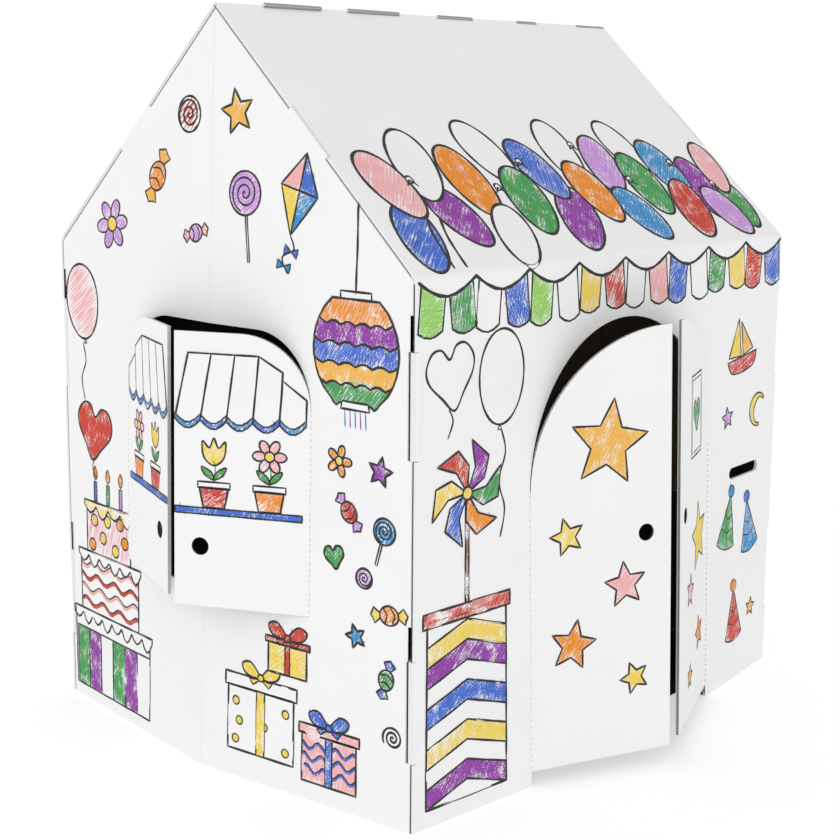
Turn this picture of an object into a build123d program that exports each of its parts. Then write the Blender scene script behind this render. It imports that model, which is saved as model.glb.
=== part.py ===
from build123d import *
import os
from math import atan2, cos, degrees, radians, sin, sqrt, tan

# A folded cardboard playhouse: four die-cut sheets that hook together at the corners,
# two door leaves and four window shutters left on their creases.
# Row frame: X runs along the front, +Y to the rear, +Z up. The origin is on the floor in the
# middle of the rear wall's outer face. All sizes are millimetres and degrees.

# House
house_width = 813.0
house_depth = 673.0
eave_height = 661.0
ridge_height = 974.0
board = 4.5

# Walls stand out a little at the foot because the creases were folded for packing
gable_bow = 41.0
front_bow = 21.0
flat_edge = 12.0

# Fits between sheets
edge_setback = 0.8
lap_clearance = 0.2
hinge_gap = 0.35
cut_gap = 1.0
finger_gap = 0.8

# Folds
eave_fold_radius = 6.0
flange_fold_radius = 3.0
flange_width = 40.0
flange_mitre = 28.0

# Door
door_half = 205.0
door_spring = 374.0
leaf_foot = 19.0
left_door_angle = 24.6
right_door_angle = 22.0
door_finger_in = 167.0
finger_hole_height = 311.0
finger_hole_radius = 11.25

# Windows in the two gables
window_half = 177.0
window_sill = 234.0
window_top = 579.0
window_corner = 92.0
front_shutter_angle = 23.6
rear_shutter_angle = 17.5
shutter_finger_in = 142.0

# Letter slot in the front wall
slot_x = 314.5
slot_z = 318.5
slot_length = 88.0
slot_height = 17.0

# Corner hook tabs of the front and rear sheets, and the slots they drop into
hook_feet = (87.0, 452.0)
hook_height = 125.0
hook_inner_radius = 1.0
hook_turn = 150.0
hook_leg = 21.0
hook_relief = 1.0
hook_slot_height = 168.0
hook_slot_clearance = 0.5
hook_slot_width = 7.3
hook_slot_depth = 11.0

# Tabs on the gable slopes that stand in notches of the roof sheets
slope_tab_foot = 192.4
slope_tab_length = 85.0
slope_tab_clearance = 0.8
slope_tab_relief = 9.0

# Fingers along the ridge, measured along a roof sheet from its left end seen from outside
ridge_notches = ((76.0, 178.0), (226.0, 328.0), (406.5, 485.0), (587.0, 635.0), (737.0, 813.0))
finger_setback = 5.0
rear_overshoot_left = 0.0
rear_overshoot_right = 5.5

# Worked out from the sizes above
half_width = house_width / 2
half_depth = house_depth / 2
panel_half = half_width - edge_setback
front_y = -house_depth
mid_y = -half_depth
slope_rise = ridge_height - eave_height
slope_length = sqrt(half_depth ** 2 + slope_rise ** 2)
slope_sin = slope_rise / slope_length
slope_cos = half_depth / slope_length
slope_tan = slope_rise / half_depth
fold_turn = 90 - degrees(atan2(slope_rise, half_depth))
fold_tangent = eave_fold_radius * tan(atan2(half_depth, slope_rise) / 2)
fold_foot = eave_height - 8.0
fold_top = 8.0
lap = board + lap_clearance
eave_bow = gable_bow * (1 - eave_height / ridge_height)
hook_radius = hook_inner_radius + board


def gable_bow_at(height):
    return gable_bow * (1 - height / ridge_height)


# The rear sheet is the front sheet turned half a turn about the middle of the house
front_frame = Plane.XY
rear_frame = Plane(origin=(0, front_y, 0), x_dir=(-1, 0, 0), z_dir=(0, 0, 1))


def on(frame, plane):
    return Plane(frame.location * plane.location)


def wall_stations(bow):
    """Plan points along a wall: flat strips at both ends, the middle standing out by bow."""
    return (
        (-panel_half, front_y),
        (-panel_half + flat_edge, front_y),
        (-door_half, front_y - bow),
        (door_half, front_y - bow),
        (panel_half - flat_edge, front_y),
        (panel_half, front_y),
    )


def wall_section(frame, height, start, end):
    """Plan section of one stretch of a wall between two points of its outer face."""
    with BuildSketch(on(frame, Plane.XY.offset(height))) as section:
        with BuildLine():
            Polyline(start, end, (end[0], end[1] + board), (start[0], start[1] + board), close=True)
        make_face()
    return section.sketch


def eave_fold_section(frame):
    """Side section of the rounded fold between a wall and its roof slope."""
    inner_z = eave_height - board / slope_cos + board * slope_tan
    roof_out = (front_y + fold_top * slope_cos, eave_height + fold_top * slope_sin)
    roof_in = (roof_out[0] + board * slope_sin, roof_out[1] - board * slope_cos)
    start = Plane(origin=(-panel_half, 0, 0), x_dir=(0, 1, 0), z_dir=(1, 0, 0))
    with BuildSketch(on(frame, start)) as section:
        with BuildLine():
            upright = Line((front_y, fold_foot), (front_y, eave_height - fold_tangent))
            bend = JernArc(upright @ 1, upright % 1, eave_fold_radius, -fold_turn)
            Polyline(
                bend @ 1,
                roof_out,
                roof_in,
                (front_y + board, inner_z),
                (front_y + board, fold_foot),
                upright @ 0,
            )
        make_face()
    return section.sketch


def roof_outline(frame, overshoot_left, overshoot_right):
    """Die-cut outline of a roof slope, local x along the house and local y up the slope."""
    plane = Plane(
        origin=(0, front_y, eave_height),
        x_dir=(1, 0, 0),
        z_dir=(0, -slope_sin, slope_cos),
    )
    notch_in = board + slope_tab_clearance
    tab_middle = slope_tab_foot + slope_tab_length / 2
    with BuildSketch(on(frame, plane)) as outline:
        with BuildLine():
            Polyline(
                (-panel_half, fold_top - 1),
                (panel_half, fold_top - 1),
                (panel_half, slope_length + overshoot_right),
                (-panel_half, slope_length + overshoot_left),
                close=True,
            )
        make_face()
        for start, end in ridge_notches:
            with Locations(((start + end) / 2 - half_width, slope_length)):
                Rectangle(end - start + finger_gap, 2 * finger_setback, mode=Mode.SUBTRACT)
            with Locations(((start + end) / 2 - half_width, slope_length + finger_setback)):
                Rectangle(end - start + finger_gap, 2 * finger_setback, mode=Mode.SUBTRACT)
        for side in (-1, 1):
            with Locations((side * (half_width - notch_in / 2), tab_middle)):
                Rectangle(notch_in, slope_tab_length, mode=Mode.SUBTRACT)
    return outline.sketch


def hook_section(frame, side, height):
    """Plan section of a hook tab at one end of a sheet, folded back on itself."""

    def point(angle, radius, on_leg=0.0):
        turn = radians(angle)
        across = hook_radius - radius * sin(turn) - on_leg * cos(turn)
        inward = hook_radius - radius * cos(turn) + on_leg * sin(turn)
        return (side * (half_width - across), front_y + inward)

    root = side * (half_width - hook_radius - hook_relief)
    with BuildSketch(on(frame, Plane.XY.offset(height))) as section:
        with BuildLine():
            ThreePointArc(
                point(0, hook_radius),
                point(hook_turn / 2, hook_radius),
                point(hook_turn, hook_radius),
            )
            Polyline(
                point(hook_turn, hook_radius),
                point(hook_turn, hook_radius, hook_leg),
                point(hook_turn, hook_inner_radius, hook_leg),
                point(hook_turn, hook_inner_radius),
            )
            ThreePointArc(
                point(hook_turn, hook_inner_radius),
                point(hook_turn / 2, hook_inner_radius),
                point(0, hook_inner_radius),
            )
            Polyline(
                point(0, hook_inner_radius),
                (root, front_y + board),
                (root, front_y),
                point(0, hook_radius),
            )
        make_face()
    return section.sketch


def edge_strip(frame, side, height):
    """Plan rectangle of the strip at the end of a sheet that a hook tab takes up."""
    with BuildSketch(on(frame, Plane.XY.offset(height))) as strip:
        with Locations((side * (half_width - hook_radius / 2), front_y + board / 2)):
            Rectangle(hook_radius, board + 2)
    return strip.sketch


def folded_sheet(facing, bow, overshoot_left, overshoot_right):
    """Adds one wall, its roof slope and its four hook tabs to the open part."""
    frame = front_frame if facing > 0 else rear_frame
    feet = wall_stations(bow)
    heads = wall_stations(0)
    for stretch in range(len(feet) - 1):
        foot = wall_section(frame, 0, feet[stretch], feet[stretch + 1])
        head = wall_section(frame, fold_foot, heads[stretch], heads[stretch + 1])
        loft([foot, head], ruled=True)
    extrude(eave_fold_section(frame), amount=2 * panel_half, dir=(facing, 0, 0))
    inward = (0, facing * slope_sin, -slope_cos)
    extrude(roof_outline(frame, overshoot_left, overshoot_right), amount=board, dir=inward)
    for foot in hook_feet:
        for side in (-1, 1):
            strip = edge_strip(frame, side, foot - hook_relief)
            strip_height = hook_height + 2 * hook_relief
            extrude(strip, amount=strip_height, dir=(0, 0, 1), mode=Mode.SUBTRACT)
            extrude(hook_section(frame, side, foot), amount=hook_height, dir=(0, 0, 1))


with BuildPart() as front_panel:
    folded_sheet(1, front_bow, 0, 0)
    with BuildSketch(Plane.XZ.offset(house_depth - 2 * board)):
        with Locations((0, door_spring)):
            Circle(door_half)
        with Locations((0, door_spring / 2 - 1)):
            Rectangle(2 * door_half, door_spring + 2)
        with Locations((slot_x, slot_z)):
            SlotOverall(slot_length, slot_height)
    extrude(amount=2 * board + 2 * front_bow, mode=Mode.SUBTRACT)
front_panel.part.label = "front_panel"

with BuildPart() as rear_panel:
    folded_sheet(-1, 0, rear_overshoot_left, rear_overshoot_right)
rear_panel.part.label = "rear_panel"


def fold_points(corner_y, toward):
    """Points round a flange fold at a corner, from the flange to the face."""
    centre_y = corner_y + toward * flange_fold_radius
    points = []
    for turn in (0, 22.5, 45, 67.5, 90):
        across = flange_fold_radius * (1 - sin(radians(turn)))
        along = centre_y - toward * flange_fold_radius * cos(radians(turn))
        points.append((-half_width + across, along))
    return points


def gable_section(height, bow):
    """Plan section of a gable: two face halves meeting at the crease, and two wall flanges."""
    front_lap = front_y + lap
    rear_lap = -lap
    flange_end = -half_width + flange_width
    inner_x = -half_width + board
    outer = [(flange_end, front_lap), *fold_points(front_lap, 1), (-half_width - bow, mid_y)]
    outer += [*reversed(fold_points(rear_lap, -1)), (flange_end, rear_lap)]
    inner = [(flange_end, rear_lap - board), (inner_x, rear_lap - board), (inner_x - bow, mid_y)]
    inner += [(inner_x, front_lap + board), (flange_end, front_lap + board)]
    with BuildSketch(Plane.XY.offset(height)) as section:
        with BuildLine():
            Polyline(*outer, *inner, close=True)
        make_face()
    return section.sketch


def peak_section(height, ends_in, bow):
    """Plan section of a gable above the eaves, two face halves without flanges."""
    front_fold = front_y + lap + flange_fold_radius
    rear_fold = -lap - flange_fold_radius
    outer = [(-half_width + ends_in, front_fold), (-half_width - bow, mid_y)]
    outer += [(-half_width + ends_in, rear_fold)]
    inner = [(x + board, y) for x, y in reversed(outer)]
    with BuildSketch(Plane.XY.offset(height)) as section:
        with BuildLine():
            Polyline(*outer, *inner, close=True)
        make_face()
    return section.sketch


def slope_point(along, below, toward):
    """A point of the side view: up a slope from its eave, and square in from the roof."""
    eave_y = front_y if toward > 0 else 0
    y = eave_y + toward * (along * slope_cos + below * slope_sin)
    return (y, eave_height + along * slope_sin - below * slope_cos)


def outside_the_roof():
    """Side view of all that lies above the gable's folded slopes, less the slope tabs."""
    apex_z = ridge_height - lap / slope_cos
    reach = 60.0
    with BuildSketch(Plane.YZ.offset(-half_width - 2 * gable_bow)) as region:
        with BuildLine():
            Polyline(
                slope_point(-reach, lap, 1),
                (mid_y, apex_z),
                slope_point(-reach, lap, -1),
                (reach, ridge_height + reach),
                (front_y - reach, ridge_height + reach),
                close=True,
            )
        make_face()
        for toward in (1, -1):
            start = slope_tab_foot + slope_tab_clearance
            end = slope_tab_foot + slope_tab_length - slope_tab_clearance
            with BuildLine():
                Polyline(
                    slope_point(start, 2 * lap, toward),
                    slope_point(start, 0, toward),
                    slope_point(end, 0, toward),
                    slope_point(end, 2 * lap, toward),
                    close=True,
                )
            make_face(mode=Mode.SUBTRACT)
    return region.sketch


def slope_flange(toward):
    """Outline of a flange folded in under a roof slope, with the hole its tab was cut from."""
    plane = Plane(
        origin=(-half_width, *slope_point(0, lap, toward)),
        x_dir=(1, 0, 0),
        z_dir=(0, -toward * slope_sin, slope_cos),
    )
    start = 2 * lap
    end = slope_length - 3 * lap
    tab_start = slope_tab_foot - slope_tab_clearance
    tab_end = slope_tab_foot + slope_tab_length + slope_tab_clearance
    with BuildSketch(plane) as outline:
        with BuildLine():
            Polyline(
                (0, toward * start),
                (flange_width, toward * (start + flange_mitre)),
                (flange_width, toward * (end - flange_mitre)),
                (0, toward * end),
                close=True,
            )
        make_face()
        with Locations((slope_tab_relief / 2, toward * (tab_start + tab_end) / 2)):
            Rectangle(slope_tab_relief, tab_end - tab_start, mode=Mode.SUBTRACT)
    return outline.sketch


def fold_rounding(start, toward, lean):
    """Section of what is rounded off the fold between a gable face and a slope flange."""
    plane = Plane(
        origin=(-half_width - lean, *slope_point(start, lap, toward)),
        x_dir=(toward, 0, 0),
        z_dir=(0, toward * slope_cos, slope_sin),
    )
    radius = flange_fold_radius
    offcut = 1.0
    with BuildSketch(plane) as section:
        with BuildLine():
            ThreePointArc(
                (toward * radius, 0),
                (toward * radius * (1 - sin(radians(45))), radius * (1 - cos(radians(45)))),
                (0, radius),
            )
            Polyline(
                (0, radius),
                (-toward * offcut, radius),
                (-toward * offcut, -offcut),
                (toward * radius, -offcut),
                (toward * radius, 0),
            )
        make_face()
    return section.sketch


def hook_slots(side_y, toward):
    """Plan rectangles of the slots that take the hook tabs at one upright edge."""
    with BuildSketch(Plane.XY) as outline:
        with Locations((-half_width + hook_slot_depth / 2, side_y + toward * (board + hook_slot_width / 2))):
            Rectangle(hook_slot_depth, hook_slot_width)
        with Locations((-half_width - board, side_y + toward * (board + hook_slot_width / 2))):
            Rectangle(3 * board, hook_slot_width)
    return outline.sketch


with BuildPart() as gable_left:
    loft([gable_section(0, gable_bow), gable_section(eave_height, eave_bow)], ruled=True)
    # the wall flanges stop short of the roof, with mitred tops
    mitre_foot = eave_height - 3 * lap
    with BuildSketch(Plane.XZ.offset(-1)):
        with BuildLine():
            Polyline(
                (-half_width + board, mitre_foot),
                (-half_width + flange_width + 1, mitre_foot - flange_mitre),
                (-half_width + flange_width + 1, eave_height + 1),
                (-half_width + board, eave_height + 1),
                close=True,
            )
        make_face()
    extrude(amount=house_depth + 2, mode=Mode.SUBTRACT)
    loft([peak_section(eave_height, 0, eave_bow), peak_section(ridge_height, eave_bow, 0)], ruled=True)
    extrude(outside_the_roof(), amount=house_width / 2, dir=(1, 0, 0), mode=Mode.SUBTRACT)
    for toward in (1, -1):
        inward = (0, toward * slope_sin, -slope_cos)
        extrude(slope_flange(toward), amount=board, dir=inward)
        lean = eave_bow * lap / (slope_rise * slope_cos)
        up = (0, toward * slope_cos, slope_sin)
        tab_end = slope_tab_foot + slope_tab_length - slope_tab_clearance
        for start, end in ((-20.0, slope_tab_foot + slope_tab_clearance), (tab_end, slope_length + 20)):
            rounding = fold_rounding(start, toward, lean)
            extrude(rounding, amount=end - start, dir=up, mode=Mode.SUBTRACT)
    # window
    with BuildSketch(Plane.YZ.offset(-half_width - 2 * gable_bow)):
        with Locations((mid_y, (window_sill + window_top) / 2)):
            window = Rectangle(2 * window_half, window_top - window_sill)
        fillet(window.vertices().group_by(Axis.Y)[-1], window_corner)
    extrude(amount=3 * gable_bow, mode=Mode.SUBTRACT)
    # slots for the hook tabs
    for foot in hook_feet:
        for side_y, toward in ((front_y, 1), (0, -1)):
            slot = hook_slots(side_y, toward)
            slot = slot.moved(Location((0, 0, foot - hook_slot_clearance)))
            extrude(slot, amount=hook_slot_height, dir=(0, 0, 1), mode=Mode.SUBTRACT)
gable_left.part.label = "gable_left"

with BuildPart() as gable_right:
    mirror(gable_left.part, about=Plane.YZ)
gable_right.part.label = "gable_right"


def leaf_plane(hinge, up, across, opening):
    """Plane of a leaf swung open about its crease; local y runs up the crease."""
    up = Vector(*up).normalized()
    across = Vector(*across)
    across = (across - up * across.dot(up)).normalized()
    outward = Vector(*hinge[3:])
    outward = (outward - up * outward.dot(up) - across * outward.dot(across)).normalized()
    swing = radians(opening)
    leaf_normal = outward * cos(swing) - across * sin(swing)
    return Plane(origin=hinge[:3], x_dir=up.cross(leaf_normal), z_dir=leaf_normal)


def door_plane(side, opening):
    hinge = (side * door_half, front_y - front_bow, 0, 0, -1, 0)
    return leaf_plane(hinge, (0, front_bow, eave_height), (-side, 0, 0), opening)


def shutter_plane(side, toward, opening):
    part_way = (half_depth - window_half) / half_depth
    hinge_x = side * (half_width + part_way * gable_bow_at(window_sill))
    hinge_y = mid_y - toward * window_half
    lean = part_way * gable_bow / ridge_height
    mid_bow = gable_bow_at((window_sill + window_top) / 2)
    hinge = (hinge_x, hinge_y, window_sill, side, 0, 0)
    across = (side * mid_bow / half_depth, toward, 0)
    return leaf_plane(hinge, (-side * lean, 0, 1), across, opening)


def door_outline(plane, across):
    """Half of the arched door; across is +1 where the leaf lies on local +x of its crease."""
    width = door_half - cut_gap
    with BuildSketch(plane) as outline:
        with Locations((across * door_half, door_spring)):
            Circle(width)
        with Locations((across * width / 2, door_spring + door_half / 2)):
            Rectangle(width, door_half, mode=Mode.INTERSECT)
        with Locations((across * (hinge_gap + width) / 2, (leaf_foot + door_spring) / 2)):
            Rectangle(width - hinge_gap, door_spring - leaf_foot)
        with Locations((across * door_finger_in, finger_hole_height)):
            Circle(finger_hole_radius, mode=Mode.SUBTRACT)
    return outline.sketch


def shutter_outline(plane, across):
    """One shutter with a rounded top corner beside its crease."""
    width = window_half - cut_gap
    height = window_top - window_sill
    with BuildSketch(plane) as outline:
        with Locations((across * (hinge_gap + width) / 2, height / 2)):
            blank = Rectangle(width - hinge_gap, height - 2 * cut_gap)
        top_corners = blank.vertices().group_by(Axis.Y)[-1].sort_by(Axis.X)
        fillet(top_corners[0 if across > 0 else -1], window_corner - cut_gap)
        with Locations((across * shutter_finger_in, finger_hole_height - window_sill)):
            Circle(finger_hole_radius, mode=Mode.SUBTRACT)
    return outline.sketch


with BuildPart() as door_leaf_left:
    leaf = door_plane(-1, left_door_angle)
    extrude(door_outline(leaf, 1), amount=-board, dir=leaf.z_dir)
door_leaf_left.part.label = "door_leaf_left"

with BuildPart() as door_leaf_right:
    leaf = door_plane(1, right_door_angle)
    extrude(door_outline(leaf, -1), amount=-board, dir=leaf.z_dir)
door_leaf_right.part.label = "door_leaf_right"

with BuildPart() as left_shutter_front:
    leaf = shutter_plane(-1, 1, front_shutter_angle)
    extrude(shutter_outline(leaf, -1), amount=-board, dir=leaf.z_dir)
left_shutter_front.part.label = "left_shutter_front"

with BuildPart() as left_shutter_rear:
    leaf = shutter_plane(-1, -1, rear_shutter_angle)
    extrude(shutter_outline(leaf, 1), amount=-board, dir=leaf.z_dir)
left_shutter_rear.part.label = "left_shutter_rear"

with BuildPart() as right_shutter_front:
    leaf = shutter_plane(1, 1, 0)
    extrude(shutter_outline(leaf, 1), amount=-board, dir=leaf.z_dir)
right_shutter_front.part.label = "right_shutter_front"

with BuildPart() as right_shutter_rear:
    leaf = shutter_plane(1, -1, 0)
    extrude(shutter_outline(leaf, -1), amount=-board, dir=leaf.z_dir)
right_shutter_rear.part.label = "right_shutter_rear"

os.makedirs("parts", exist_ok=True)
export_step(front_panel.part, "parts/front_panel.step")
export_step(rear_panel.part, "parts/rear_panel.step")
export_step(gable_left.part, "parts/gable_left.step")
export_step(gable_right.part, "parts/gable_right.step")
export_step(door_leaf_left.part, "parts/door_leaf_left.step")
export_step(door_leaf_right.part, "parts/door_leaf_right.step")
export_step(left_shutter_front.part, "parts/left_shutter_front.step")
export_step(left_shutter_rear.part, "parts/left_shutter_rear.step")
export_step(right_shutter_front.part, "parts/right_shutter_front.step")
export_step(right_shutter_rear.part, "parts/right_shutter_rear.step")
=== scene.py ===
import random
from math import ceil, cos, hypot, pi, radians, sin, sqrt

import bpy
from mathutils import Matrix, Vector
from mathutils.bvhtree import BVHTree
from mathutils.geometry import delaunay_2d_cdt


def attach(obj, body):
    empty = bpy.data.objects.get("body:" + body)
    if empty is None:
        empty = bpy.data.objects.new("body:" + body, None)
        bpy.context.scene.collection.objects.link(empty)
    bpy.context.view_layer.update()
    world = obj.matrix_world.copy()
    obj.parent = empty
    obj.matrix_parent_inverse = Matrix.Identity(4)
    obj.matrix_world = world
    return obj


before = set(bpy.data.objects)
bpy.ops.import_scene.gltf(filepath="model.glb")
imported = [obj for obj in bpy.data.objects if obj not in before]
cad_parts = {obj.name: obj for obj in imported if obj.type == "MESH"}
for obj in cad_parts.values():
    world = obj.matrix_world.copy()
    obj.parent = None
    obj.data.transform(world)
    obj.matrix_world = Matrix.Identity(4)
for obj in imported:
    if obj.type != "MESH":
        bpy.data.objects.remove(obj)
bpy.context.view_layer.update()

# Sizes of the house in metres, the same as the CAD's
WIDTH, DEPTH, EAVE, RIDGE = 0.813, 0.673, 0.661, 0.974
HALF_W, HALF_D = WIDTH / 2, DEPTH / 2
GABLE_BOW, FRONT_BOW, FLAT_EDGE = 0.041, 0.021, 0.012
DOOR_HALF, WINDOW_HALF = 0.205, 0.177
SILL, WINDOW_TOP = 0.234, 0.579
SETBACK, HOOK_BACK = 0.0008, 0.0118
SLOPE = hypot(HALF_D, RIDGE - EAVE)
SIN, COS = (RIDGE - EAVE) / SLOPE, HALF_D / SLOPE
FLUTE = 0.0078
# How far the lowest marks lie off the board in millimetres, and each layer over the last
GROUND, LAYER = 0.16, 0.08


# ---------- camera, floor and light ----------

def add_object(name, data):
    obj = bpy.data.objects.new(name, data)
    bpy.context.collection.objects.link(obj)
    return obj


def make_camera():
    """The photo's camera, solved from the vanishing points and the edges of the house."""
    cam = bpy.data.cameras.new("camera")
    cam.sensor_fit = "HORIZONTAL"
    cam.sensor_width = 36.0
    cam.lens = 66.9
    cam.shift_y = -70 / 840
    cam.clip_start, cam.clip_end = 0.05, 60
    yaw, pitch, roll = (radians(v) for v in (47.946, -9.275, 0.454))
    ahead, rise = cos(pitch), sin(pitch)
    forward = Vector((sin(yaw) * ahead, cos(yaw) * ahead, rise))
    right = Vector((cos(yaw), -sin(yaw), 0))
    up = right.cross(forward)
    right, up = (
        right * cos(roll) + up * sin(roll),
        up * cos(roll) - right * sin(roll),
    )
    place = Vector((-1.2809 - HALF_W, -1.1617 - DEPTH, 0.8637))
    turn = Matrix((right, up, -forward)).transposed().to_4x4()
    obj = add_object("camera", cam)
    obj.matrix_world = Matrix.Translation(place) @ turn
    bpy.context.scene.camera = obj


def make_material(name, rough):
    mat = bpy.data.materials.new(name)
    mat.use_nodes = True
    shader = mat.node_tree.nodes["Principled BSDF"]
    shader.inputs["Roughness"].default_value = rough
    shader.inputs["Specular IOR Level"].default_value = 0.25
    return mat, mat.node_tree, shader


SIGNS = {
    "+": "ADD", "-": "SUBTRACT", "*": "MULTIPLY", "/": "DIVIDE",
    "<": "LESS_THAN", ">": "GREATER_THAN",
}


def sums(tree):
    """A short way to write node sums in one material."""

    def maths(sign, a, b=0.0):
        node = tree.nodes.new("ShaderNodeMath")
        node.operation = SIGNS.get(sign, sign)
        for slot, value in ((0, a), (1, b)):
            if isinstance(value, (int, float)):
                node.inputs[slot].default_value = value
            else:
                tree.links.new(value, node.inputs[slot])
        return node.outputs[0]

    return maths


def rgba(colour):
    """A grey or a colour as Blender wants it."""
    return ((colour,) * 3 if isinstance(colour, (int, float)) else tuple(colour)) + (1,)


def coords(tree, kind):
    return tree.nodes.new("ShaderNodeTexCoord").outputs[kind]


def axes(tree, socket):
    node = tree.nodes.new("ShaderNodeSeparateXYZ")
    tree.links.new(socket, node.inputs[0])
    return [node.outputs[axis] for axis in "XYZ"]


def dot(tree, socket, vec):
    node = tree.nodes.new("ShaderNodeVectorMath")
    node.operation = "DOT_PRODUCT"
    node.inputs[1].default_value = vec
    tree.links.new(socket, node.inputs[0])
    return node.outputs["Value"]


def noise(tree, scale, detail=3):
    node = tree.nodes.new("ShaderNodeTexNoise")
    node.inputs["Scale"].default_value = scale
    node.inputs["Detail"].default_value = detail
    tree.links.new(coords(tree, "Object"), node.inputs["Vector"])
    return node.outputs["Fac"]


def ramp(tree, factor, stops, kind="LINEAR"):
    """A colour ramp; each stop is a place on it and a grey or a colour."""
    node = tree.nodes.new("ShaderNodeValToRGB")
    node.color_ramp.interpolation = kind
    for i, (place, colour) in enumerate(stops):
        stop = node.color_ramp.elements[i] if i < 2 else node.color_ramp.elements.new(place)
        stop.position = place
        stop.color = rgba(colour)
    tree.links.new(factor, node.inputs["Fac"])
    return node.outputs["Color"]


def add_bump(tree, shader, height, strength, distance):
    node = tree.nodes.new("ShaderNodeBump")
    node.inputs["Strength"].default_value = strength
    node.inputs["Distance"].default_value = distance
    tree.links.new(height, node.inputs["Height"])
    tree.links.new(node.outputs["Normal"], shader.inputs["Normal"])


def make_floor():
    """A pale floor, with painted shade where the house stands over it."""
    inset, threshold, jamb = 0.004, 0.036, 0.003
    size, level = 14, -0.0005
    mat, tree, shader = make_material("floor_paint", 0.9)
    maths = sums(tree)
    across, along, _ = axes(tree, coords(tree, "Object"))
    x = maths("ABSOLUTE", across)
    y = maths("ABSOLUTE", maths("+", along, HALF_D))
    # the footprint: gables bowed to both sides, a bowed front, and a set-back line in the doorway
    side = maths("*", maths("-", 1.0, maths("/", y, HALF_D)), GABLE_BOW)
    side = maths("+", maths("MAXIMUM", side, 0.0), HALF_W - inset)
    share = maths("/", maths("-", HALF_W, x), HALF_W - DOOR_HALF)
    share = maths("*", maths("MINIMUM", share, 1.0), FRONT_BOW)
    doorway = maths("*", maths("<", x, DOOR_HALF + jamb), threshold)
    front = maths("+", maths("-", inset - DEPTH, share), doorway)
    inner = maths("*", maths("<", x, side), maths("<", along, -inset))
    inner = maths("*", inner, maths(">", along, front))
    outside = maths("-", 1.0, inner)
    # inside the footprint the floor is painted dark and does not glow: painted shade under the
    # house
    for socket, shaded, lit in (("Base Color", 0.07, 0.5), ("Emission Color", 0.0, 1.0)):
        tone = ramp(tree, outside, ((0, shaded), (0.5, lit)), "CONSTANT")
        tree.links.new(tone, shader.inputs[socket])
    shader.inputs["Emission Strength"].default_value = 0.57
    mesh = bpy.data.meshes.new("floor")
    corners = [(cx, cy, level) for cx, cy in rect(-size, -size, size, size)]
    mesh.from_pydata(corners, [], [(0, 1, 2, 3)])
    mesh.materials.append(mat)
    obj = add_object("floor", mesh)


def make_light():
    """A white room, a little darker overhead and to the upper right, and two soft lights."""
    strength, screen_from, screen_depth = 1.04, 0.6, 2.8
    bpy.context.scene.view_settings.view_transform = "Standard"
    world = bpy.data.worlds.new("studio")
    world.use_nodes = True
    tree, background = world.node_tree, world.node_tree.nodes["Background"]
    view = coords(tree, "Generated")
    height = axes(tree, view)[2]
    room = ramp(tree, height, ((0.22, 1.0), (0.75, 0.82)))
    tree.links.new(room, background.inputs["Color"])
    # the darker part to the right is like a screen hung beside the set, above what the camera sees
    maths = sums(tree)
    above = maths("*", maths("-", height, 0.2), 4.0)
    above = maths("MAXIMUM", maths("MINIMUM", above, 1.0), 0.0)
    aside = maths("-", dot(tree, view, (0.9, -0.43, 0)), screen_from)
    screen = maths("*", maths("MAXIMUM", aside, 0.0), above)
    screen = maths("*", screen, screen_depth)
    tree.links.new(maths("-", strength, screen), background.inputs["Strength"])
    bpy.context.scene.world = world
    for name, place, power in (("key", (-3.6, -1.2, 1.5), 9), ("fill", (-0.8, -4.0, 1.3), 3)):
        light = bpy.data.lights.new(name, "AREA")
        light.shape, light.energy = "RECTANGLE", power
        light.size = light.size_y = 2.4
        obj = add_object(name, light)
        obj.location = place
        aim = Vector((0, -0.3, 0.5)) - Vector(place)
        obj.rotation_euler = aim.to_track_quat("-Z", "Y").to_euler()


# ---------- board ----------

def board_material(name, out_vec, along_vec):
    """White printed liner outside, plain brown liner inside, painted darker on the walls as shade,
    pale cut edges, faint flutes.
    """
    mat, tree, shader = make_material(name + "_board", 0.82)
    maths = sums(tree)

    def mix(factor, a, b):
        node = tree.nodes.new("ShaderNodeMix")
        node.data_type = "RGBA"
        # sockets 0, 6 and 7 are the factor and the two colours, output 2 is the mixed colour
        for slot, value in ((0, factor), (6, a), (7, b)):
            if isinstance(value, tuple):
                node.inputs[slot].default_value = value + (1,)
            else:
                tree.links.new(value, node.inputs[slot])
        return node.outputs[2]

    facing = dot(tree, coords(tree, "Normal"), out_vec)
    outside = maths(">", facing, 0.7)
    inside_face = maths("<", facing, -0.7)
    across = dot(tree, coords(tree, "Object"), along_vec)
    flute = maths("SINE", maths("*", across, 2 * pi / FLUTE))
    fibre, cloud = noise(tree, 900), noise(tree, 9, 4)
    white = mix(cloud, (0.845, 0.845, 0.85), (0.885, 0.885, 0.885))
    edge = mix(fibre, (0.74, 0.74, 0.74), (0.84, 0.84, 0.835))
    # the inner liner is plain brown; on the walls it is painted darker, as painted shade of the
    # dark inside; the strip of it above the ridge is a plain grey
    # 1 for the leaves, 0.28 for the walls, whose liner is darkened as painted shade
    light = 1.0 if name in LEAVES else 0.28
    dark_brown = (0.23 * light, 0.16 * light, 0.105 * light)
    brown = mix(fibre, dark_brown, (0.34 * light, 0.245 * light, 0.165 * light))
    above = maths(">", axes(tree, coords(tree, "Object"))[2], RIDGE - 0.004)
    liner = mix(above, brown, (0.33, 0.33, 0.33))
    tree.links.new(mix(inside_face, mix(outside, edge, white), liner), shader.inputs["Base Color"])
    height = maths("+", maths("*", flute, 0.012), maths("*", fibre, 0.05))
    height = maths("+", height, maths("*", cloud, 0.8))
    add_bump(tree, shader, height, 0.35, 0.001)
    return mat


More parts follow.
